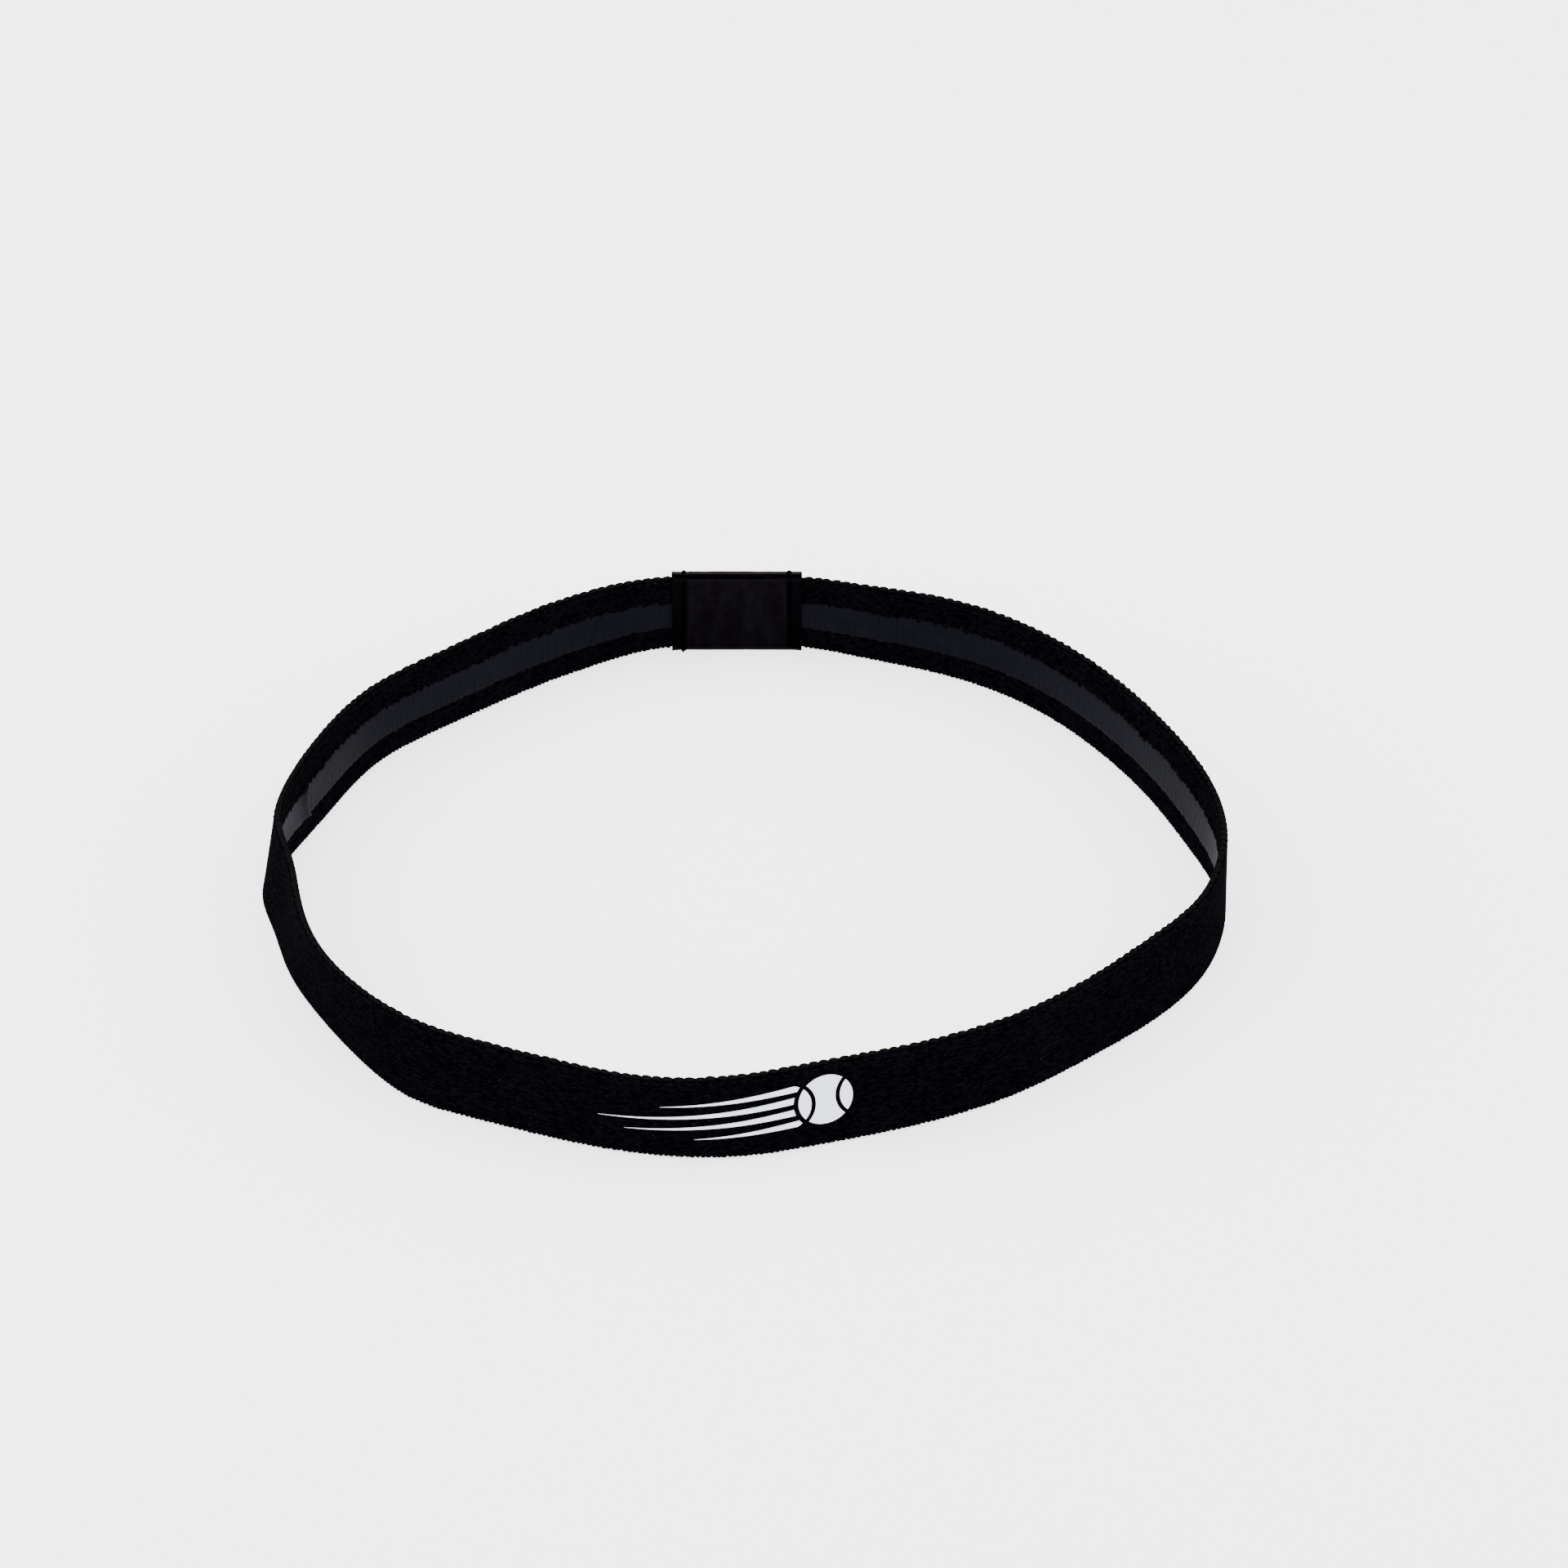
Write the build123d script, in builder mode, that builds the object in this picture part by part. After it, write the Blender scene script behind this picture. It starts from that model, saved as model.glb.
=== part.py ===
from build123d import *
from math import cos, radians, sin, tan
import os

os.makedirs("parts", exist_ok=True)

# Narrow elastic headband, standing on its lower edge. +Z is up and out of the lower edge, the print is at the
# front (-Y) and the ribbon sleeve that joins the ends at the back (+Y). The origin is under the loop's centre.

# ---- the loop ----
loop_girth = 485.0  # length round the relaxed loop, along the middle of the band
band_width = 15.0  # height of the standing band
band_thickness = 1.3
edge_depth = 0.6  # how far each selvedge reaches in from its edge
edge_thickness = 0.9

# ---- the elastic's rubber cores ----
core_count = 13
core_size = 0.5
core_margin = 1.5  # from the band's edge to the first core's middle

# ---- the silicone grip stripe on the inner face ----
grip_bottom = 4.7
grip_height = 5.3
grip_thickness = 0.2

# ---- the ribbon sleeve over the joint ----
sleeve_length = 22.5
sleeve_side = -1.8  # the sleeve's middle, to one side of the front-to-back line
ribbon_thickness = 0.35
tuck_length = 6.5  # how far each end of the elastic goes into the sleeve
flat_spare = 0.5  # the band is flat at the back for this far beyond each seam

# ---- the two lock-stitched seams ----
seam_inset = 2.1  # from the sleeve's side to the seam
cores_per_stitch = 2  # the needle goes down between cores, so a stitch spans whole core spaces
thread_diameter = 0.36
leg_diameter = 0.3  # the thread pulled tight where it goes down through the layers
leg_clearance = 0.02  # all round a leg in its needle hole
tail_length = 0.9  # cut thread end above the upper edge

# ---- the print ----
print_side = -2.5  # the mark's middle, to one side of the front-to-back line
print_height = 7.3  # the mark's middle, above the lower edge
print_thickness = 0.1
ball_diameter = 8.6
ball_shift = 15.5  # the ball's middle, ahead of the mark's middle
ball_line = 0.7  # width of the two curved seam lines on the ball
ball_seam_shift = 6.2  # from the ball's middle to the middle of each seam line's circle
ball_space = 0.8  # bare cloth between the ball and its speed lines
streak_lengths = [16.0, 27.0, 31.0, 21.0]  # speed lines behind the ball, from the lowest one up
streak_width = 1.3
streak_pitch = 2.1
mark_slope = 4.0  # degrees that the mark climbs towards the ball

# The relaxed loop isn't a true circle. Each station gives a bearing, anticlockwise from +X, the middle of the
# band's distance from the centre of a loop of drawn_girth, and the band's outward lean there, in degrees.
drawn_girth = 485.0
stations = [
    (76, 77.4, -2.0),
    (65, 77.5, 3.0),
    (52, 77.0, 4.5),
    (36, 75.3, 6.5),
    (22, 75.1, 7.5),
    (9, 76.7, 7.5),
    (359, 78.7, 1.0),
    (350, 79.1, -1.0),
    (341, 78.5, -3.0),
    (331, 76.2, -6.0),
    (319, 74.2, -2.5),
    (305, 73.8, -2.5),
    (291, 73.6, -4.5),
    (280, 74.5, -5.5),
    (270, 77.2, -3.5),
    (259, 78.7, 0.5),
    (247, 78.5, -1.0),
    (238, 79.3, -1.5),
    (230, 80.8, -2.5),
    (221, 80.2, 2.0),
    (208, 78.7, 2.5),
    (198, 77.5, -6.0),
    (189, 77.0, -10.0),
    (181, 78.4, -10.0),
    (171, 76.7, -0.5),
    (160, 75.1, 4.5),
    (147, 75.0, 2.5),
    (133, 73.5, 1.5),
    (120, 75.0, 3.0),
    (109, 77.5, 1.0),
]
back_distance = 77.9  # from the centre to the flat stretch at the back
back_lean = -5.0

# ---- worked out from the sizes above ----
size_share = loop_girth / drawn_girth
mid_height = band_width / 2
half_band = band_thickness / 2
seam_half = sleeve_length / 2 - seam_inset
back_half = seam_half + flat_spare
gap_length = sleeve_length - 2 * tuck_length
thread_radius = thread_diameter / 2
leg_radius = leg_diameter / 2
hole_radius = leg_radius + leg_clearance
inner_side = half_band + grip_thickness
inner_cover = inner_side + ribbon_thickness
outer_cover = half_band + ribbon_thickness
core_pitch = (band_width - 2 * core_margin) / (core_count - 1)
core_heights = [core_margin + core_pitch * row for row in range(core_count)]
stitch_length = cores_per_stitch * core_pitch
stitch_count = (core_count - 1) // cores_per_stitch
first_hole = core_margin - core_pitch / 2
hole_heights = [first_hole + stitch_length * stitch for stitch in range(stitch_count + 1)]
ball_radius = ball_diameter / 2
wide = loop_girth  # cutting boxes are longer than the loop is across


def out_of_plumb(lean, height):
    """How much further out a leaning band stands at a height than at its middle."""
    return tan(radians(lean)) * (height - mid_height)


def outline(reach, height):
    """Closed plan curve of the loop, a reach outside the band's middle surface."""
    bends = []
    for bearing, distance, lean in stations:
        spread = distance * size_share + reach + out_of_plumb(lean, height)
        bends.append((spread * cos(radians(bearing)), spread * sin(radians(bearing))))
    back = back_distance * size_share + reach + out_of_plumb(back_lean, height)
    left_end = (sleeve_side - back_half, back)
    right_end = (sleeve_side + back_half, back)
    with BuildLine() as curve:
        Line(left_end, right_end)
        Spline(right_end, *bends, left_end, tangents=[(1, 0), (1, 0)], tangent_scalars=[1, 1])
    return curve.line


# The origin goes under the middle of the loop's box, whatever its bends are.
footprint = outline(half_band, 0).bounding_box().add(outline(half_band, band_width).bounding_box())
centre = footprint.center()
sleeve_x = sleeve_side - centre.X
print_x = print_side - centre.X
back_y = back_distance * size_share - centre.Y


def ring(inner, outer, bottom, top):
    """Ring between two reaches from the band's middle surface, and between two heights."""
    with BuildPart() as hoop:
        for reach, mode in ((outer, Mode.ADD), (inner, Mode.SUBTRACT)):
            for height in (bottom, top):
                with BuildSketch(Plane((-centre.X, -centre.Y, height))):
                    with BuildLine():
                        add(outline(reach, height))
                    make_face()
            loft(ruled=True, mode=mode)
    return hoop.part


def back_box(length):
    """Cutting box across the back of the loop, centred on the sleeve."""
    with BuildPart() as block:
        with BuildSketch(Plane((sleeve_x, wide / 2, 0))):
            Rectangle(length, wide)
        extrude(amount=band_width)
    return block.part


def seam_plane(side):
    """Plane on the band's middle surface at a seam: X along the band, Y up it and Z outwards."""
    outwards = (0, 1, -tan(radians(back_lean)))
    return Plane((sleeve_x + side * seam_half, back_y, mid_height), x_dir=(-1, 0, 0), z_dir=outwards)


def finish(piece, name):
    """Label a finished piece and write its STEP file."""
    piece.part.label = name
    export_step(piece.part, f"parts/{name}.step")


# ---- cutting tools shared by the pieces ----
joint_gap = back_box(gap_length)
sleeve_zone = back_box(sleeve_length)

with BuildPart() as needle_holes:
    for side in (-1, 1):
        with BuildSketch(seam_plane(side)):
            with Locations([(0, height - mid_height) for height in hole_heights]):
                Circle(hole_radius)
        extrude(amount=inner_cover + outer_cover, both=True)

# ---- rubber core yarns that lie lengthwise inside the weave ----
with BuildPart() as elastane_cores:
    for height in core_heights:
        add(ring(-core_size / 2, core_size / 2, height - core_size / 2, height + core_size / 2))
    add(joint_gap, mode=Mode.SUBTRACT)
finish(elastane_cores, "elastane_cores")

# ---- woven strip, closely woven round its cores, with both ends inside the sleeve ----
with BuildPart() as elastic_webbing:
    add(ring(-half_band, half_band, edge_depth, band_width - edge_depth))
    add(joint_gap, mode=Mode.SUBTRACT)
    add(elastane_cores.part, mode=Mode.SUBTRACT)
    add(needle_holes.part, mode=Mode.SUBTRACT)
finish(elastic_webbing, "elastic_webbing")

# ---- selvedge yarns along the two edges of the strip ----
half_edge = edge_thickness / 2

with BuildPart() as lower_edge_cord:
    add(ring(-half_edge, half_edge, 0, edge_depth))
    add(joint_gap, mode=Mode.SUBTRACT)
finish(lower_edge_cord, "lower_edge_cord")

with BuildPart() as upper_edge_cord:
    add(ring(-half_edge, half_edge, band_width - edge_depth, band_width))
    add(joint_gap, mode=Mode.SUBTRACT)
finish(upper_edge_cord, "upper_edge_cord")

# ---- silicone stripe printed on the inner face before the strip is cut and sewn ----
with BuildPart() as silicone_grip:
    add(ring(-inner_side, -half_band, edge_depth, band_width - edge_depth))
    with BuildSketch(Plane.XY.offset(grip_bottom)):
        Rectangle(wide, wide)
    extrude(amount=grip_height, mode=Mode.INTERSECT)
    add(joint_gap, mode=Mode.SUBTRACT)
    add(needle_holes.part, mode=Mode.SUBTRACT)
finish(silicone_grip, "silicone_grip")

# ---- two satin ribbon panels that cover the joint, inside and outside the loop ----
for name, inner, outer in (
    ("sleeve_inner_panel", -inner_cover, -inner_side),
    ("sleeve_outer_panel", half_band, outer_cover),
):
    with BuildPart() as sleeve_panel:
        add(ring(inner, outer, 0, band_width))
        add(sleeve_zone, mode=Mode.INTERSECT)
        add(needle_holes.part, mode=Mode.SUBTRACT)
    finish(sleeve_panel, name)

# ---- lock stitch: one thread on each face, with legs that meet in the needle holes ----
for seam_name, side in (("left_seam", -1), ("right_seam", 1)):
    for thread_name, facing, cover, tailed in (
        ("needle_thread", 1, outer_cover, True),
        ("bobbin_thread", -1, inner_cover, False),
    ):
        on_band = seam_plane(side)
        row_bottom = hole_heights[0] - thread_diameter
        row_top = band_width + tail_length if tailed else hole_heights[-1] + thread_diameter
        row_end = on_band.from_local_coords((0, row_bottom - mid_height, facing * (cover + thread_radius)))
        with BuildPart() as thread:
            with BuildSketch(on_band):
                with Locations([(0, height - mid_height) for height in hole_heights]):
                    Circle(leg_radius)
            extrude(amount=facing * (cover + thread_radius))
            with BuildSketch(Plane(row_end, x_dir=on_band.x_dir, z_dir=on_band.y_dir)):
                Circle(thread_radius)
            extrude(amount=row_top - row_bottom)
        finish(thread, f"{seam_name}_{thread_name}")

# ---- printed mark: a plain ball with speed lines behind it, in a film of ink ----
mark_climb = (cos(radians(mark_slope)), 0, sin(radians(mark_slope)))
ball_seams = [
    CenterArc((ball_shift + side * ball_seam_shift, 0), ball_radius, 90, side * 180) for side in (-1, 1)
]

with BuildPart() as printed_mark:
    with BuildSketch(Plane((print_x, 0, print_height), x_dir=mark_climb, z_dir=(0, -1, 0))):
        for row, length in enumerate(streak_lengths):
            level = (row - (len(streak_lengths) - 1) / 2) * streak_pitch
            tip = (ball_shift - ball_radius - ball_space - length, level)
            with BuildLine():
                Polyline(
                    tip,
                    (ball_shift, level - streak_width / 2),
                    (ball_shift, level + streak_width / 2),
                    close=True,
                )
            make_face()
        with Locations((ball_shift, 0)):
            Circle(ball_radius + ball_space, mode=Mode.SUBTRACT)
            Circle(ball_radius)
        for ball_seam in ball_seams:
            SlotArc(ball_seam, ball_line, mode=Mode.SUBTRACT)
    extrude(amount=wide)
    add(ring(half_band, half_band + print_thickness, edge_depth, band_width - edge_depth), mode=Mode.INTERSECT)
finish(printed_mark, "printed_mark")
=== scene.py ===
import math
import random

import bmesh
import bpy
import numpy as np
from mathutils import Matrix, Vector, noise


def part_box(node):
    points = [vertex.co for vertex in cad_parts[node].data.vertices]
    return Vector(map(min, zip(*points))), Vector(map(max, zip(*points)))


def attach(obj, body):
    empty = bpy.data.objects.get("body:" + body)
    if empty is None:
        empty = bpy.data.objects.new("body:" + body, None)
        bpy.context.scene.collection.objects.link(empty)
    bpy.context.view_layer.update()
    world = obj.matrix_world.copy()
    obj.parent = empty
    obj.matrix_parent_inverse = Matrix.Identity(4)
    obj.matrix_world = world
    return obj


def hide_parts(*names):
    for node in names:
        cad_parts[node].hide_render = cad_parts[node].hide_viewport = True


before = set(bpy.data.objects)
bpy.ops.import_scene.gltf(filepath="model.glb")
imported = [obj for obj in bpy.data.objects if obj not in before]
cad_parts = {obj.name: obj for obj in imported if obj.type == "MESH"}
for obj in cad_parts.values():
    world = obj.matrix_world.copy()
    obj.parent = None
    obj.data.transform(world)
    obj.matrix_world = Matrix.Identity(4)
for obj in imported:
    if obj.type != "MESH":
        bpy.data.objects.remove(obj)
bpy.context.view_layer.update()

# ---- studio ----
# The band stands on a plain white sweep under a bright even sky, with a soft box at each side, so its inner
# stripe catches the side light. The camera looks down on it from the front.
MM = 0.001
CAMERA_PLACE = Vector((0.00679, -1.23873, 0.79488))
CAMERA_AIM = Vector((0.00679, 0.03334, 0.0))
LENS = 203.6
SKY_COLOUR = (0.93, 0.96, 1.0, 1.0)
SKY_STRENGTH = 2.0
SOFT_BOXES = (
    ("left_box", (-0.9, 0.1, 0.5), 0.7, 9.0, (0.95, 0.97, 1.0)),
    ("right_box", (0.9, 0.0, 0.5), 0.7, 6.0, (0.95, 0.97, 1.0)),
    ("top_box", (0.0, 0.3, 1.4), 1.4, 12.0, (1.0, 1.0, 1.0)),
)
FLOOR_SIDE = 6.0
FLOOR_COLOUR = (0.93, 0.93, 0.93, 1.0)
FLOOR_GLOW = 2.0
FLOOR_ROUGHNESS = 0.9
FLOOR_GLOSS = 0.1
NEAREST_SEEN = 0.05


def point_at(thing, place, aim):
    """Stand a camera or a light at a place, looking at a point."""
    thing.location = place
    thing.rotation_euler = (aim - place).to_track_quat("-Z", "Y").to_euler()


camera_data = bpy.data.cameras.new("camera")
camera_data.lens = LENS
camera_data.clip_start = NEAREST_SEEN
camera = bpy.data.objects.new("camera", camera_data)
bpy.context.scene.collection.objects.link(camera)
point_at(camera, CAMERA_PLACE, CAMERA_AIM)
bpy.context.scene.camera = camera

sky = bpy.data.worlds.new("sky")
sky.use_nodes = True
sky_light = sky.node_tree.nodes["Background"]
sky_light.inputs["Color"].default_value = SKY_COLOUR
sky_light.inputs["Strength"].default_value = SKY_STRENGTH
bpy.context.scene.world = sky

for light_name, place, size, power, colour in SOFT_BOXES:
    light_data = bpy.data.lights.new(light_name, "AREA")
    light_data.shape = "SQUARE"
    light_data.size = size
    light_data.energy = power
    light_data.color = colour
    light = bpy.data.objects.new(light_name, light_data)
    bpy.context.scene.collection.objects.link(light)
    point_at(light, Vector(place), Vector((0.0, 0.0, 0.0)))

floor_shape = bmesh.new()
bmesh.ops.create_grid(floor_shape, x_segments=1, y_segments=1, size=FLOOR_SIDE / 2)
floor_mesh = bpy.data.meshes.new("floor")
floor_shape.to_mesh(floor_mesh)
floor_shape.free()
floor = bpy.data.objects.new("floor", floor_mesh)
bpy.context.scene.collection.objects.link(floor)
paper = bpy.data.materials.new("white_sweep")
paper.use_nodes = True
for socket, value in (
    ("Base Color", FLOOR_COLOUR),
    ("Emission Color", FLOOR_COLOUR),
    ("Emission Strength", FLOOR_GLOW),
    ("Roughness", FLOOR_ROUGHNESS),
    ("Specular IOR Level", FLOOR_GLOSS),
):
    paper.node_tree.nodes["Principled BSDF"].inputs[socket].default_value = value
floor_mesh.materials.append(paper)

# ---- webbing ----
# One length of narrow black elastic, woven from textured polyester round rubber cores. The face is matt and
# finely grained, the inner side shows its weft as fine cross ribs. Both cut ends lie inside the sleeve.
WEAVE_PICK = 0.42  # from one crossing yarn to the next
FLOAT_ROW = 0.38
WEBBING_EDGE = 0.35  # the cloth stops this far inside the selvedges' outer line
WEBBING_HALF = 0.65
WEBBING_ROUND = 0.5
WEBBING_ROW = 0.8
WEBBING_GRAIN = 0.02
WEAVE_DEPTH = 0.00009
CLOTH_DARK = (0.0001, 0.0001, 0.0002, 1.0)
CLOTH_PALE = (0.0044, 0.0033, 0.0060, 1.0)
LINT_COLOUR = (0.05, 0.05, 0.045, 1.0)
LINT_LEVEL = 0.86
LINT_SHARE = 0.25
BEARINGS = 1440
SMOOTHING = 5.0  # bearings
SQUARELY = 0.5  # how squarely a facet must look inwards or outwards to count as that side
AT_HEIGHT = 0.05
OVERLAP = 3  # points read again past the start of the closed line
BEND_SPAN = 1.0  # mm to each side of a point that give its direction
CORNER_CUTS = 3
WELD = 0.0005

band_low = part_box("lower_edge_cord")[0].z / MM
band_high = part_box("upper_edge_cord")[1].z / MM
sleeve_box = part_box("sleeve_inner_panel")
sleeve_x = (sleeve_box[0].x + sleeve_box[1].x) / 2
sleeve_length = (sleeve_box[1].x - sleeve_box[0].x) / MM
back_y = (sleeve_box[1].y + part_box("sleeve_outer_panel")[0].y) / 2
first_bearing = math.atan2(back_y, sleeve_x)
even_turns = np.arange(BEARINGS) * math.tau / BEARINGS


def edge_line(node, height, outward):
    """Plan points of one side of an edge cord, at even bearings round from the sleeve's middle."""
    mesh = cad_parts[node].data
    found = {}
    for face in mesh.polygons:
        if face.normal.xy.dot(face.center.xy.normalized()) * outward > SQUARELY:
            for index in face.vertices:
                place = mesh.vertices[index].co
                if abs(place.z - height * MM) < AT_HEIGHT * MM:
                    found[(math.atan2(place.y, place.x) - first_bearing) % math.tau] = place.xy
    order = sorted(found)
    turns = np.array(order)
    turns = np.concatenate((turns[-OVERLAP:] - math.tau, turns, turns[:OVERLAP] + math.tau))
    points = np.array([found[turn] for turn in order])
    points = np.concatenate((points[-OVERLAP:], points, points[:OVERLAP]))
    return np.stack([np.interp(even_turns, turns, points[:, axis]) for axis in (0, 1)], axis=1)


def smoothed(line):
    """A closed plan line with the facets of the frame's mesh taken out."""
    reach = round(4 * SMOOTHING)
    steps = np.arange(-reach, reach + 1)
    weights = np.exp(-0.5 * (steps / SMOOTHING) ** 2)
    weights /= weights.sum()
    return sum(weight * np.roll(line, step, axis=0) for step, weight in zip(steps, weights))


low_line, high_line = (
    smoothed((edge_line(node, height, -1) + edge_line(node, height, 1)) / 2)
    for node, height in (("lower_edge_cord", band_low), ("upper_edge_cord", band_high))
)
low_line, high_line = (np.concatenate((line, line[:1])) for line in (low_line, high_line))
middle_line = (low_line + high_line) / 2
steps_along = np.linalg.norm(np.diff(middle_line, axis=0), axis=1)
distance_along = np.concatenate(([0.0], np.cumsum(steps_along))) / MM
girth = distance_along[-1]


def along_line(line, along):
    """Points of a plan line at distances along the band, in mm from the sleeve's middle."""
    return np.stack([np.interp(along % girth, distance_along, line[:, axis]) for axis in (0, 1)], axis=-1)


def bend(shape):
    """Take a shape from the flat band (X along, Y outwards and Z up, in mm) to its place round the loop."""
    flat = np.array([vert.co[:] for vert in shape.verts])
    ahead = along_line(middle_line, flat[:, 0] + BEND_SPAN) - along_line(middle_line, flat[:, 0] - BEND_SPAN)
    ahead /= np.linalg.norm(ahead, axis=1, keepdims=True)
    outwards = np.stack((ahead[:, 1], -ahead[:, 0]), axis=1)
    climb = ((flat[:, 2] - band_low) / (band_high - band_low))[:, None]
    plan = along_line(low_line, flat[:, 0]) * (1 - climb) + along_line(high_line, flat[:, 0]) * climb
    plan += outwards * flat[:, 1:2] * MM
    for vert, place, height in zip(shape.verts, plan, flat[:, 2]):
        vert.co = (place[0], place[1], height * MM)


def bar_outline(low, high, inner, outer, rounding, row):
    """Section of a flat bar with soft edges, as (reach, height) points about a row apart."""
    corners = []
    for reach, height, turn in ((outer, low, -90), (outer, high, 0), (inner, high, 90), (inner, low, 180)):
        middle_reach = reach - math.copysign(rounding, reach - (inner + outer) / 2)
        middle_height = height - math.copysign(rounding, height - (low + high) / 2)
        for step in range(CORNER_CUTS + 1):
            angle = math.radians(turn + 90 / CORNER_CUTS * step)
            corner_reach = middle_reach + rounding * math.cos(angle)
            corners.append((corner_reach, middle_height + rounding * math.sin(angle)))
    outline = []
    for start, end in zip(corners, corners[1:] + corners[:1]):
        cuts = max(1, round(math.dist(start, end) / row))
        for cut in range(cuts):
            outline.append(tuple(a + (b - a) * cut / cuts for a, b in zip(start, end)))
    return outline


def roll(start, end, columns, outline):
    """Strip of the flat band, its rows rolled up round an outline and its ends closed."""
    shape = bmesh.new()
    rows = len(outline)
    bmesh.ops.create_grid(shape, x_segments=columns, y_segments=rows, size=0.5)
    for vert in shape.verts:
        reach, height = outline[round((vert.co.y + 0.5) * rows) % rows]
        vert.co = (start + (vert.co.x + 0.5) * (end - start), reach, height)
    bmesh.ops.remove_doubles(shape, verts=shape.verts, dist=WELD)
    bmesh.ops.holes_fill(shape, edges=[edge for edge in shape.edges if edge.is_boundary])
    return shape


def make_piece(shape, name, finish, node):
    """Finished piece from a flat shape: mapped in mm, bent round the loop, and standing for its CAD node."""
    mapping = shape.loops.layers.uv.new("band")
    for face in shape.faces:
        for loop in face.loops:
            loop[mapping].uv = (loop.vert.co.x, loop.vert.co.z)
    bend(shape)
    bmesh.ops.recalc_face_normals(shape, faces=shape.faces)
    mesh = bpy.data.meshes.new(name)
    shape.to_mesh(mesh)
    shape.free()
    mesh.shade_smooth()
    mesh.materials.append(finish)
    piece = bpy.data.objects.new(name, mesh)
    bpy.context.scene.collection.objects.link(piece)
    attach(piece, "root")
    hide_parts(node)
    return piece


class Signal:
    """A shader socket that takes part in sums, so that a pattern is written as an expression."""

    def __init__(self, finish, socket):
        self.finish = finish
        self.socket = socket

    def math(self, operation, *terms):
        return self.finish.node("ShaderNodeMath", {"operation": operation}, dict(enumerate(terms)))

    def __add__(self, other):
        return self.math("ADD", self, other)

    def __sub__(self, other):
        return self.math("SUBTRACT", self, other)

    def __rsub__(self, other):
        return self.math("SUBTRACT", other, self)

    def __mul__(self, other):
        return self.math("MULTIPLY", self, other)

    __radd__ = __add__
    __rmul__ = __mul__

    def sine(self):
        return self.math("SINE", self)

    def size(self):
        return self.math("ABSOLUTE", self)

    def above(self, level):
        return self.math("GREATER_THAN", self, level)


class Finish:
    """A material that is built node by node."""

    def __init__(self, name):
        self.material = bpy.data.materials.new(name)
        self.material.use_nodes = True
        self.tree = self.material.node_tree
        self.tree.nodes.clear()

    def node(self, kind, settings, sockets, output=0):
        """Add a node: its settings first, then the values or links of its sockets."""
        made = self.tree.nodes.new(kind)
        for setting, value in settings.items():
            setattr(made, setting, value)
        for socket, value in sockets.items():
            if isinstance(value, Signal):
                self.tree.links.new(value.socket, made.inputs[socket])
            else:
                made.inputs[socket].default_value = value
        return Signal(self, made.outputs[output] if len(made.outputs) else None)

    def mapped(self, scale, turn=0.0):
        """The piece's own flat map, in mm, stretched by a scale along and across the band."""
        uv = self.node("ShaderNodeUVMap", {"uv_map": "band"}, {})
        sizes = {"Vector": uv, "Scale": (*scale, 1.0), "Rotation": (0.0, 0.0, math.radians(turn))}
        return self.node("ShaderNodeMapping", {}, sizes)

    def flat_place(self):
        """How far along the band and how high up it a point lies, in mm."""
        parts = self.node("ShaderNodeSeparateXYZ", {}, {"Vector": self.mapped((1.0, 1.0))})
        return parts, Signal(self, parts.socket.node.outputs["Y"])

    def own_place(self):
        """The piece's own place in space, in metres."""
        return self.node("ShaderNodeTexCoord", {}, {}, output=3)

    def limited(self, signal):
        """A signal held between 0 and 1."""
        return self.node("ShaderNodeClamp", {}, {"Value": signal})

    def blend(self, share, first, second):
        """Mix of two colours."""
        sockets = {0: share, 6: first, 7: second}
        return self.node("ShaderNodeMix", {"data_type": "RGBA"}, sockets, output=2)

    def noise(self, vector, scale, detail=2.0, roughness=0.5):
        """Soft noise."""
        sockets = {"Vector": vector, "Scale": scale, "Detail": detail, "Roughness": roughness}
        return self.node("ShaderNodeTexNoise", {}, sockets)

    def surface(self, colour, roughness, relief, depth, gloss):
        """Close the material: a principled surface with its gloss, and relief of a depth in metres."""
        bump = self.node("ShaderNodeBump", {}, {"Height": relief, "Distance": depth, "Strength": 1.0})
        sockets = {"Base Color": colour, "Roughness": roughness, "Normal": bump, **gloss}
        skin = self.node("ShaderNodeBsdfPrincipled", {}, sockets)
        self.node("ShaderNodeOutputMaterial", {}, {"Surface": skin})
        return self.material


def woven_black():
    """Matt black elastic: yarn floats laid like bricks, each its own shade, with a few specks of lint."""
    finish = Finish("woven_black")
    floats = finish.node(
        "ShaderNodeTexBrick",
        {"offset": 0.5, "offset_frequency": 2},
        {
            "Vector": finish.mapped((1.0, 1.0)),
            "Color1": (0.0, 0.0, 0.0, 1.0),
            "Color2": (1.0, 1.0, 1.0, 1.0),
            "Mortar": (0.0, 0.0, 0.0, 1.0),
            "Scale": 1.0,
            "Mortar Size": 0.06,
            "Mortar Smooth": 1.0,
            "Brick Width": 2 * WEAVE_PICK,
            "Row Height": FLOAT_ROW,
        },
    )
    gaps = Signal(finish, floats.socket.node.outputs["Fac"])
    fuzz = finish.noise(finish.mapped((3.6, 4.2)), 1.0, 3.0, 0.65)
    broad = finish.noise(finish.mapped((0.12, 0.25)), 1.0, 2.0)
    tone = floats * 0.6 + fuzz * 1.9 + broad * 0.3 - 1.1
    black = finish.blend(finish.limited(tone), CLOTH_DARK, CLOTH_PALE)
    lint = finish.noise(finish.mapped((1.7, 1.3)), 1.0, 0.0).above(LINT_LEVEL)
    colour = finish.blend(lint * LINT_SHARE, black, LINT_COLOUR)
    relief = (1.0 - gaps) * 0.6 + fuzz * 0.9
    gloss = {"Specular IOR Level": 0.0006, "Sheen Weight": 0.0006, "Sheen Roughness": 0.5}
    return finish.surface(colour, 0.92 - fuzz * 0.1, relief, WEAVE_DEPTH, gloss)


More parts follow.
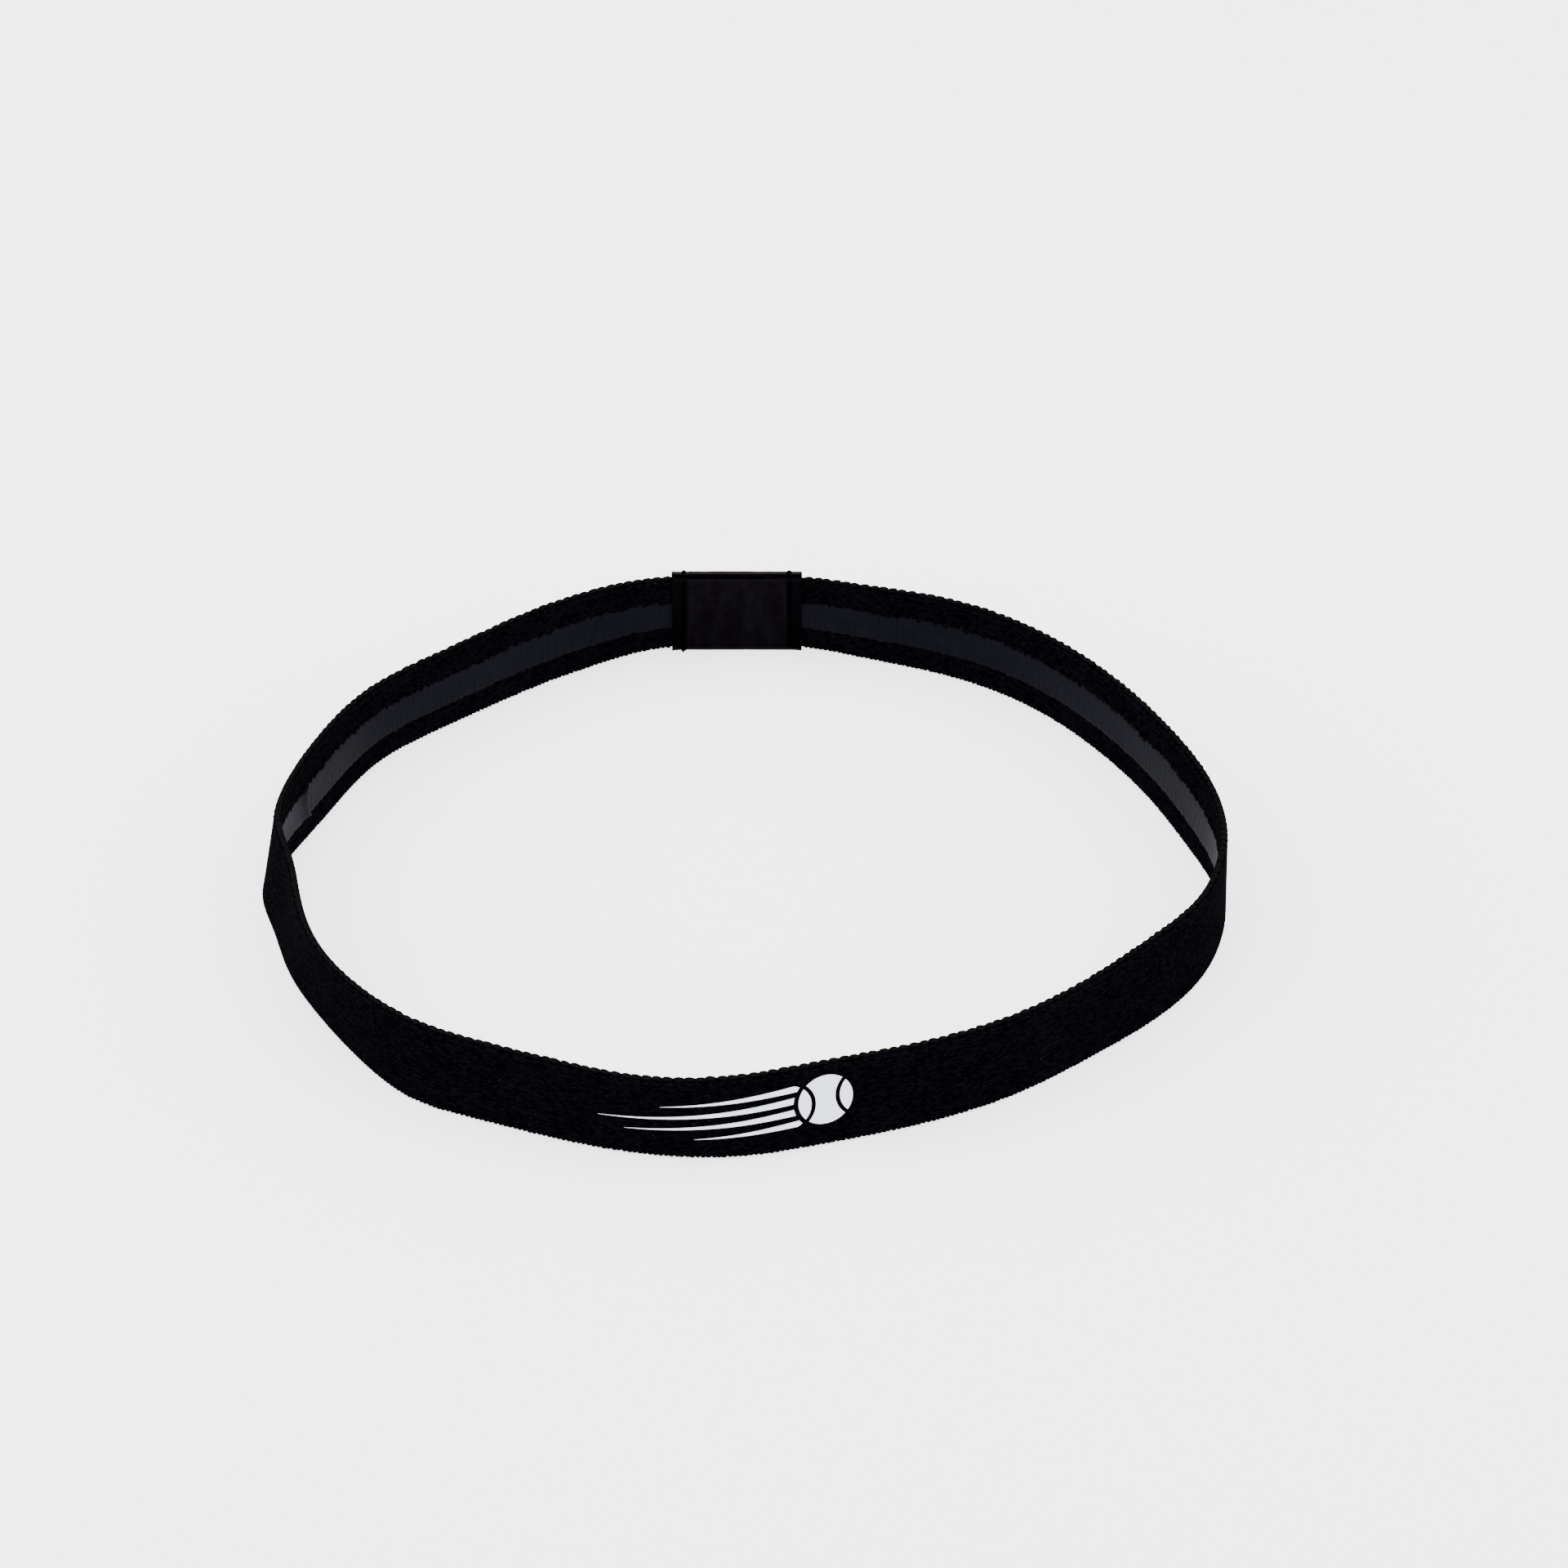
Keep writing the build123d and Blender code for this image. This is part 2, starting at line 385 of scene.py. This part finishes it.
cord_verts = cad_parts["upper_edge_cord"].data.vertices
back_offsets = [vert.co.x - sleeve_x for vert in cord_verts if vert.co.y > sleeve_box[0].y]
strip_start = min(-offset for offset in back_offsets if offset < 0) / MM
strip_end = girth - min(offset for offset in back_offsets if offset > 0) / MM
strip_length = strip_end - strip_start

chance = random.Random(7)
low, high = WEBBING_EDGE, band_high - WEBBING_EDGE
outline = bar_outline(low, high, -WEBBING_HALF, WEBBING_HALF, WEBBING_ROUND, WEBBING_ROW)
shape = roll(strip_start, strip_end, round(strip_length / WEAVE_PICK), outline)
for vert in shape.verts:
    vert.co.y *= 1 + chance.gauss(0, WEBBING_GRAIN)
webbing = make_piece(shape, "webbing", woven_black(), "elastic_webbing")
strip_length * MM

# ---- rubber cores ----
# Thirteen rubber threads lie lengthwise inside the weave and make it stretch. They are extruded and dusted
# with talc, and only show at the strip's cut ends, inside the sleeve.
CORE_GRAIN = 1800.0
CORE_DEPTH = 0.00003
CORE_DARK = (0.012, 0.011, 0.010, 1.0)
CORE_DUSTY = (0.035, 0.033, 0.030, 1.0)


def core_rubber():
    """Dusty dark rubber with a fine grain."""
    finish = Finish("core_rubber")
    grain = finish.noise(finish.own_place(), CORE_GRAIN, 2.0)
    colour = finish.blend(grain, CORE_DARK, CORE_DUSTY)
    return finish.surface(colour, 0.55 + grain * 0.2, grain, CORE_DEPTH, {"Specular IOR Level": 0.3})


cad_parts["elastane_cores"].data.materials[0] = core_rubber()

# ---- selvedges ----
# The weft turns round a catch yarn at each edge: coarse slanting loops along the top, with the loops' other
# ends showing as a row of dashes on both faces, and loops half as long along the bottom.
TOP_PITCH = 1.69
TOP_LOOP = (1.85, 0.95, 0.8)  # length, thickness and height
SLANT = 9.0  # degrees
DASH_LEVEL = 13.95
DASH_REACH = 0.58
DASH = (1.05, 0.3, 0.26)
LOW_PITCH = 0.845
LOW_LOOP = (0.98, 0.92, 0.62)
TUCKED_DROP = 0.8  # how far the loops are pressed in where the sleeve covers them
FACE_ORDER = (100.0, 10.0, 1.0)
LOOP_UNEVEN = {"place": 0.05, "level": 0.03, "size": 0.06, "slant": 3}
SELVEDGE_DARK = (0.0005, 0.0004, 0.0005, 1.0)
SELVEDGE_PALE = (0.0070, 0.0062, 0.0058, 1.0)
SELVEDGE_DEPTH = 0.00008


def selvedge_black():
    """Fuzzy grey-black yarn, paler and darker in random streaks and patches."""
    finish = Finish("selvedge_black")
    strands = finish.noise(finish.mapped((1.2, 9.0), 20.0), 1.0, 2.0, 0.6)
    lumps = finish.noise(finish.mapped((1.3, 1.3)), 1.0, 1.0)
    shade = strands * 0.7 + lumps * 0.5 - 0.1
    colour = finish.blend(shade, SELVEDGE_DARK, SELVEDGE_PALE)
    gloss = {"Specular IOR Level": 0.002, "Sheen Weight": 0.001, "Sheen Roughness": 0.4}
    return finish.surface(colour, 0.85 - strands * 0.1, strands, SELVEDGE_DEPTH, gloss)


def loop_row(shape, pitch, size, reach, level, slant):
    """A row of yarn loops along the strip, each a little different, sunk where they lie in the sleeve."""
    count = round(strip_length / pitch)
    one_lump = bmesh.new()
    along_x = Matrix.Rotation(math.pi / 2, 4, "Y")
    bmesh.ops.create_uvsphere(one_lump, u_segments=8, v_segments=6, radius=1.0, matrix=along_x)
    # The sphere's faces come in a new order each time, so they are put in a fixed one.
    one_lump.faces.sort(key=lambda face: round(face.calc_center_median().dot(FACE_ORDER), 3))
    lump_mesh = bpy.data.meshes.new("lump")
    for number in range(count):
        along = strip_start + (number + 0.5) * strip_length / count
        tucked = min(along, girth - along) < sleeve_length / 2
        drop = math.copysign(TUCKED_DROP, level - band_high / 2) if tucked else 0.0
        place = Vector((
            along + chance.gauss(0, LOOP_UNEVEN["place"]) * pitch,
            reach,
            level - drop + chance.gauss(0, LOOP_UNEVEN["level"]) * size[2],
        ))
        grow = 1 + chance.gauss(0, LOOP_UNEVEN["size"])
        turn = Matrix.Rotation(math.radians(slant + chance.gauss(0, LOOP_UNEVEN["slant"])), 4, "Y")
        stretch = Matrix.Diagonal((size[0] / 2 * grow, size[1] / 2, size[2] / 2 * grow, 1.0))
        one_lump.to_mesh(lump_mesh)
        lump_mesh.transform(Matrix.Translation(place) @ turn @ stretch)
        shape.from_mesh(lump_mesh)
    one_lump.free()
    bpy.data.meshes.remove(lump_mesh)


yarn_black = selvedge_black()
shape = bmesh.new()
loop_row(shape, TOP_PITCH, TOP_LOOP, 0.0, band_high - TOP_LOOP[2] / 2, SLANT)
for side in (-1, 1):
    loop_row(shape, TOP_PITCH, DASH, side * DASH_REACH, DASH_LEVEL, SLANT)
make_piece(shape, "upper_selvedge", yarn_black, "upper_edge_cord")

shape = bmesh.new()
loop_row(shape, LOW_PITCH, LOW_LOOP, 0.0, band_low + LOW_LOOP[2] / 2, -SLANT)
for vert in shape.verts:
    vert.co.z = max(vert.co.z, band_low)
make_piece(shape, "lower_selvedge", yarn_black, "lower_edge_cord")

# ---- silicone grip ----
# A stripe of silicone rubber printed along the inner face. It takes the cross ribs of the weave under it. Its
# upper edge is ragged where the print ran into the ribs, and it has creased where the loop bends at the left.
# Shade just before the crease and a highlight beyond it are painted into the stripe's colour.
GRIP_COLUMN = 0.21
GRIP_ROW = 0.6
GRIP_INNER, GRIP_OUTER = -0.85, -0.6
GRIP_ROUND = 0.11
GRIP_FACE = -0.7  # everything nearer the head than this is the stripe's open face
GRIP_DARK = (0.0006, 0.0006, 0.0012, 1.0)
GRIP_PALE = (0.0046, 0.0046, 0.0080, 1.0)
GRIP_HIGHLIGHT = (0.0095, 0.0095, 0.0150, 1.0)  # painted highlight on the stripe beyond the crease
GRIP_DEPTH = 0.00012
TEETH, COMB, DRIFT = 0.5, 0.6, 0.4  # how far the upper edge strays, from fine to broad
SHORT_PRINT = 0.5  # how far the print stops short in a few of the ribs
SHORT_LEVEL = 0.88
SCALLOP, WANDER = 0.18, 0.22  # the same for the lower edge
CREASE_ALONG = 100.5
CREASE_BOW = 0.55
CREASE_LEAN = 0.12
CREASE_RISE = 0.55
CREASE_SLOPES = (0.2, 1.6)  # its steep side and its easy side
HIGHLIGHT_LENGTH = 16.0  # length of the painted highlight beyond the crease

grip_low, grip_high = (corner.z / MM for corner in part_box("silicone_grip"))


def grip_silicone():
    """Grey-blue silicone with fine cross ribs, thin enough to darken where the print is short, with painted
    shade just before the crease and a painted highlight beyond it.
    """
    finish = Finish("grip_silicone")
    ribs = finish.noise(finish.mapped((2.4, 0.12)), 1.0, 1.0, 0.4)
    fine = finish.noise(finish.mapped((5.5, 0.5)), 1.0, 2.0)
    cloudy = finish.noise(finish.mapped((0.10, 0.45)), 1.0, 2.0)
    along, height = finish.flat_place()
    climb = height - grip_low
    bowed = (climb * (math.pi / (grip_high - grip_low))).sine() * CREASE_BOW + climb * CREASE_LEAN
    beyond = along - CREASE_ALONG - bowed
    past_crease = finish.limited(beyond * 4.0 + 0.5)
    # Painted highlight: the stripe's colour is paler for a stretch beyond the crease.
    crease_highlight = past_crease * finish.limited((HIGHLIGHT_LENGTH - beyond) * 0.12)
    # Painted shade: the stripe's colour is darker for a few mm before the crease.
    crease_shade = finish.limited(beyond * 0.5 + 1.5) * (1.0 - past_crease)
    shade = finish.limited(ribs * 0.6 + fine * 0.5 + cloudy * 0.45 - 0.35) * (1.0 - crease_shade * 0.3)
    pale = finish.blend(crease_highlight, GRIP_PALE, GRIP_HIGHLIGHT)
    colour = finish.blend(shade, GRIP_DARK, pale)
    relief = ribs + fine * 0.4
    return finish.surface(colour, 0.42 + fine * 0.2, relief, GRIP_DEPTH, {"Specular IOR Level": 0.012})


outline = bar_outline(grip_low, grip_high, GRIP_INNER, GRIP_OUTER, GRIP_ROUND, GRIP_ROW)
shape = roll(strip_start, strip_end, round(strip_length / GRIP_COLUMN), outline)
notches = [chance.random() for _ in range(round(girth / WEAVE_PICK) + 2)]
for vert in shape.verts:
    along, reach, height = vert.co
    share = (height - grip_low) / (grip_high - grip_low)
    notch = notches[int(along / WEAVE_PICK)]
    tooth = noise.noise(Vector((along * 0.95, 7.0, 0.0)))
    comb = COMB * (notch - 0.5) + TEETH * tooth - (SHORT_PRINT if notch > SHORT_LEVEL else 0.0)
    drift = noise.noise(Vector((along * 0.13, 0.0, 0.0)))
    wander = noise.noise(Vector((0.0, along * 0.35, 0.0)))
    scallop = SCALLOP * abs(math.sin(math.pi * along / TOP_PITCH)) + WANDER * wander
    bowed = CREASE_BOW * math.sin(math.pi * share) + CREASE_LEAN * (height - grip_low)
    beyond = along - CREASE_ALONG - bowed
    ridge = math.exp(-((beyond / CREASE_SLOPES[beyond > 0]) ** 2))
    vert.co.z += share * (comb + DRIFT * drift) - (1 - share) * scallop
    vert.co.y -= CREASE_RISE * ridge * (reach < GRIP_FACE)
make_piece(shape, "grip_stripe", grip_silicone(), "silicone_grip")

# ---- ribbon sleeve ----
# Two pieces of narrow satin ribbon cover the joint, one inside the loop and one outside. They are pulled in
# along the seams, lift a little at their cut sides, and sink into the space between the strip's ends.
RIBBONS = (  # name, CAD node, facing, inner and outer face, and how far it stands above the band's edge
    ("inner_ribbon", "sleeve_inner_panel", -1, -1.1, -0.85, -0.1),
    ("outer_ribbon", "sleeve_outer_panel", 1, 0.65, 0.9, 0.45),
)
RIBBON_COLUMN = 0.25
RIBBON_ROW = 0.4
RIBBON_ROUND = 0.11
PULL = 0.24
PULL_WIDTH = 0.45
LIFT = 0.05
LIFT_START = 0.5  # from the seam
SINK = 0.3
END_SOFTNESS = 3  # how steeply the ribbon goes down past the strip's end
CRUMPLE = 0.09
WOVEN_EDGE = 0.6
WOVEN_EDGE_RISE = 0.05
STITCH_LENGTH = 2.0
FIRST_HOLE = 1.0
RIM_START, TOP_EDGE_START, BOTTOM_EDGE_END = 14.93, 14.3, 0.55
SATIN_DARK = (0.0002, 0.0001, 0.0003, 1.0)
SATIN_WINE = (0.0058, 0.0030, 0.0052, 1.0)
SATIN_SLATE = (0.0050, 0.0045, 0.0068, 1.0)
SATIN_EDGE = (0.016, 0.0115, 0.0105, 1.0)
SATIN_RIM = (0.030, 0.023, 0.021, 1.0)
SATIN_DEPTH = 0.00006

seam_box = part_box("right_seam_needle_thread")
seam_half = ((seam_box[0].x + seam_box[1].x) / 2 - sleeve_x) / MM


def sleeve_satin():
    """Dark brown-violet satin with lengthwise floats, painted black as shade where it is pulled into the
    seams, and paler at its woven edges.
    """
    finish = Finish("sleeve_satin")
    floats = finish.noise(finish.mapped((0.8, 11.0)), 1.0, 2.0, 0.6)
    cloth = finish.noise(finish.mapped((0.5, 0.5)), 1.0, 3.0)
    streaks = finish.noise(finish.mapped((0.42, 0.07)), 1.0, 2.0)
    along, height = finish.flat_place()
    rim = finish.limited((height - RIM_START) * 8.0)
    top_edge = finish.limited((height - TOP_EDGE_START) * 2.5) * 0.12
    bottom_edge = finish.limited((BOTTOM_EDGE_END - height) * 4.0) * 0.75
    edge = (top_edge + bottom_edge) * (0.5 + floats * 0.5)
    off_middle = along.size()
    # Painted shade: the satin's colour goes black along each seam, where the stitches pull the ribbon in.
    seam_shade = finish.limited((off_middle - seam_half).size() * 2.2 - 0.5)
    # Past the seams the satin is darker, most of all towards the bottom.
    outside_seams = finish.limited(height * 0.05) * 0.45
    covered = outside_seams + finish.limited((seam_half - off_middle) * 2.0) * 0.6
    cloudy = finish.limited(floats * 0.5 + cloth * 0.9 + streaks * 0.8 - 0.6)
    tint = finish.blend(finish.limited(streaks * 4.0 - 1.5), SATIN_WINE, SATIN_SLATE)
    ground = finish.blend(cloudy * seam_shade * covered, SATIN_DARK, tint)
    colour = finish.blend(rim, finish.blend(edge, ground, SATIN_EDGE), SATIN_RIM)
    relief = floats * 0.6 + cloth * 0.4
    return finish.surface(colour, 0.5 + floats * 0.15, relief, SATIN_DEPTH, {"Specular IOR Level": 0.003})


satin = sleeve_satin()
for name, node, facing, inner, outer, proud in RIBBONS:
    outline = bar_outline(band_low, band_high + proud, inner, outer, RIBBON_ROUND, RIBBON_ROW)
    shape = roll(-sleeve_length / 2, sleeve_length / 2, round(sleeve_length / RIBBON_COLUMN), outline)
    for vert in shape.verts:
        along, reach, height = vert.co
        off_seam = abs(along) - seam_half
        stitch = 0.65 + 0.35 * math.cos(math.tau * (height - FIRST_HOLE) / STITCH_LENGTH)
        pull = PULL * stitch * math.exp(-((off_seam / PULL_WIDTH) ** 2))
        lift = LIFT * max(0.0, off_seam - LIFT_START) ** 2
        between_ends = 1 / (1 + math.exp(END_SOFTNESS * (abs(along) - strip_start)))
        sink = SINK * between_ends * math.sin(math.pi * height / band_high)
        crumple = CRUMPLE * noise.noise(Vector((along * 0.3, facing * 5.0, height * 0.3)))
        at_edge = min(height - band_low, band_high - height) < WOVEN_EDGE
        open_face = abs(reach) > (abs(inner) + abs(outer)) / 2
        rise = WOVEN_EDGE_RISE if at_edge and open_face else 0.0
        vert.co.y += facing * (lift + crumple + rise - pull - sink)
    ribbon = make_piece(shape, name, satin, node)

# ---- seams ----
# Each side of the sleeve is closed with a row of lock stitch in twisted black thread. The needle thread lies
# outside and ends in a knot above the upper edge. The bobbin thread lies inside, the left one knotted at its
# bottom end.
THREAD = 0.17  # radius
THREAD_SIDES = 8
TWIST = 0.9  # turn of the two plies from one point of the path to the next
STITCH_DIP = 0.22
DIP_SHARPNESS = 8
PROUD_SHARE = 0.6  # how much of its radius the thread stands off the ribbon between two holes
STITCH_STEP = 0.1
KNOT_STEPS = 14  # points in one turn
KNOT_TAPER = 0.35
KNOT_WAVE = 0.1
TOP_KNOT = {"turns": 2.2, "rise": 0.45, "lean": 0.5}
BOTTOM_KNOT = {"radius": 0.36, "turns": 1.6, "rise": -0.3, "lean": 0.2}
NEEDLE_COVER, BOBBIN_COVER = 0.9, 1.1  # the ribbons' open faces
NEEDLE_START, BOBBIN_START = 0.75, 0.55
NEEDLE_END, BOBBIN_END = band_high + 0.4, 13.25
THREAD_DARK = (0.0001, 0.0001, 0.0001, 1.0)
THREAD_PALE = (0.0009, 0.0007, 0.0008, 1.0)
THREAD_GRAIN = 2500.0
THREAD_DEPTH = 0.00004


def seam_thread():
    """Dull black twisted polyester thread."""
    finish = Finish("seam_thread")
    fibre = finish.noise(finish.own_place(), THREAD_GRAIN, 2.0)
    colour = finish.blend(fibre, THREAD_DARK, THREAD_PALE)
    return finish.surface(colour, 0.7 + fibre * 0.2, fibre, THREAD_DEPTH, {"Specular IOR Level": 0.003})


def add_yarn(shape, path, radius):
    """A two-ply yarn along a path of flat-band points, rolled from a grid and closed at both ends."""
    points = np.array(path)
    tangents = np.gradient(points, axis=0)
    strand = bmesh.new()
    bmesh.ops.create_grid(strand, x_segments=len(points) - 1, y_segments=THREAD_SIDES, size=0.5)
    for vert in strand.verts:
        index = round((vert.co.x + 0.5) * (len(points) - 1))
        angle = math.tau * round((vert.co.y + 0.5) * THREAD_SIDES) / THREAD_SIDES
        ahead = Vector(tangents[index]).normalized()
        first = Vector((1.0, 0.0, 0.0)) - ahead * ahead.x
        first.normalize()
        second = ahead.cross(first)
        lobe = radius * (0.82 + 0.28 * abs(math.cos(angle - index * TWIST)))
        vert.co = Vector(points[index]) + first * lobe * math.cos(angle) + second * lobe * math.sin(angle)
    bmesh.ops.remove_doubles(strand, verts=strand.verts, dist=WELD)
    bmesh.ops.holes_fill(strand, edges=[edge for edge in strand.edges if edge.is_boundary])
    held = bpy.data.meshes.new("strand")
    strand.to_mesh(held)
    strand.free()
    shape.from_mesh(held)
    bpy.data.meshes.remove(held)


def stitch_row(along, facing, cover, bottom, top):
    """Path of one thread up a seam, dipping into each needle hole."""
    path = []
    for height in np.arange(bottom, top, STITCH_STEP):
        dip = STITCH_DIP * math.cos(math.pi * (height - FIRST_HOLE) / STITCH_LENGTH) ** DIP_SHARPNESS
        path.append((along, facing * (cover + THREAD * PROUD_SHARE - dip), height))
    return path


def knot(start, radius, turns, rise, lean):
    """Path of a thread end that is wound up in the small turns of a knot."""
    path = []
    count = int(turns * KNOT_STEPS)
    for step in range(count):
        angle = math.tau * step / KNOT_STEPS
        spread = radius * (1 - KNOT_TAPER * step / count)
        path.append((
            start[0] + spread * math.sin(angle),
            start[1] - lean * step / count + spread * (math.cos(angle) - 1),
            start[2] + rise * step / count + KNOT_WAVE * math.sin(2 * angle),
        ))
    return path


thread_black = seam_thread()
for seam, along, knot_size in (("left_seam", seam_half, 0.34), ("right_seam", -seam_half, 0.4)):
    shape = bmesh.new()
    path = stitch_row(along, 1, NEEDLE_COVER, NEEDLE_START, NEEDLE_END)
    add_yarn(shape, path + knot(path[-1], knot_size, **TOP_KNOT), THREAD)
    make_piece(shape, f"{seam}_needle_stitches", thread_black, f"{seam}_needle_thread")
    shape = bmesh.new()
    path = stitch_row(along, -1, BOBBIN_COVER, BOBBIN_START, BOBBIN_END)
    if seam == "left_seam":
        path = list(reversed(knot(path[0], **BOTTOM_KNOT))) + path
    add_yarn(shape, path, THREAD)
    make_piece(shape, f"{seam}_bobbin_stitches", thread_black, f"{seam}_bobbin_thread")

# ---- printed mark ----
# A film of white ink on the front: a plain ball with speed lines behind it. The ink follows the cloth's grain
# and is slightly thin in places.
INK_GRAIN = 1500.0
INK_CLOUDS = 260.0
INK_THIN = (0.62, 0.66, 0.72, 1.0)
INK_FULL = (0.86, 0.88, 0.92, 1.0)
INK_DEPTH = 0.00004


def print_ink():
    """White ink that shows a little of the cloth's grain."""
    finish = Finish("print_ink")
    place = finish.own_place()
    grain = finish.noise(place, INK_GRAIN, 2.0)
    clouds = finish.noise(place, INK_CLOUDS, 3.0)
    colour = finish.blend(grain * 0.6 + clouds * 0.5, INK_THIN, INK_FULL)
    relief = grain + clouds * 0.5
    return finish.surface(colour, 0.6 + grain * 0.15, relief, INK_DEPTH, {"Specular IOR Level": 0.3})


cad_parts["printed_mark"].data.materials[0] = print_ink()
